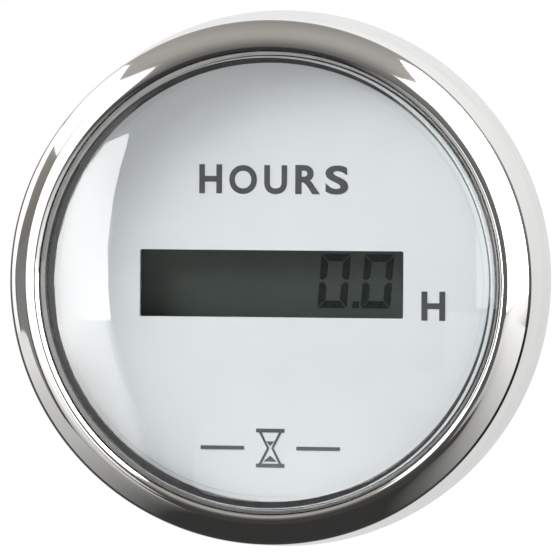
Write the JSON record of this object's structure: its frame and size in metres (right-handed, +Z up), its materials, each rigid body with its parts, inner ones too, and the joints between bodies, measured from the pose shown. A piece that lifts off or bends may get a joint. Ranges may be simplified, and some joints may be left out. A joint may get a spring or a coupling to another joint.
{
  "type": "hour meter",
  "caption": "Round panel hour meter: liquid crystal counter in a white dial under a domed lens, polished bezel, threaded case with blade terminals and a clamp nut behind the panel.",
  "frame": {"origin": "on the meter's axis, in the plane where the rear face of the gasket meets the panel", "axes": "the dial faces -Y, +Y runs along the case axis to the terminals, +Z is up on the dial, +X is right"},
  "size_m": [0.0648, 0.0574, 0.0648],
  "materials": {
    "bezel_steel": "polished stainless steel",
    "lens_clear": "clear polished",
    "seal_rubber": "matt black",
    "dial_white": "satin white print",
    "carrier_white": "moulded white",
    "lcd_grey": "dark grey green polariser",
    "guide_clear": "clear moulded",
    "strip_rubber": "silicone with contact layers",
    "board_green": "solder mask over glass laminate",
    "led_white": "phosphor in white body",
    "chip_black": "moulded epoxy",
    "can_steel": "drawn can",
    "pin_brass": "gold flash",
    "strip_black": "moulded black",
    "cap_blue": "shrink sleeve",
    "blade_tin": "tinned brass",
    "screw_steel": "zinc plated",
    "case_white": "moulded white",
    "gasket_rubber": "matt black",
    "clamp_white": "moulded white nylon"
  },
  "bodies": {
    "meter": {"bezel": "bezel_steel", "lens": "lens_clear", "lens_seal": "seal_rubber", "dial": "dial_white", "display_carrier": "carrier_white", "lcd_cell": "lcd_grey", "light_guide": "guide_clear", "contact_strips": "strip_rubber", "display_board": "board_green", "backlight_leds": "led_white", "controller_chip": "chip_black", "memory_chip": "chip_black", "crystal": "can_steel", "link_pins": "pin_brass", "link_strip": "strip_black", "power_board": "board_green", "capacitor": "cap_blue", "regulator": "chip_black", "diode": "chip_black", "terminal_plus": "blade_tin", "terminal_minus": "blade_tin", "terminal_lamp": "blade_tin", "board_screws": "screw_steel", "case": "case_white", "panel_gasket": "gasket_rubber"},
    "washer": {"clamp_washer": "clamp_white"},
    "nut": {"clamp_nut": "clamp_white"}
  },
  "joints": [
    {"name": "washer_slide", "type": "slide", "parent": "meter", "child": "washer", "axis": [0, 1, 0], "range_m": [-0.0068, 0.0091]},
    {"name": "nut_turn", "type": "hinge", "parent": "washer", "child": "nut", "pos_m": [0, 0.0092, 0], "axis": [0, 1, 0], "range_deg": [-810, 1080]}
  ],
  "couplings": [
    {"joint": "washer_slide", "follows": "nut_turn", "m_per_rad": 0.00047746}
  ]
}
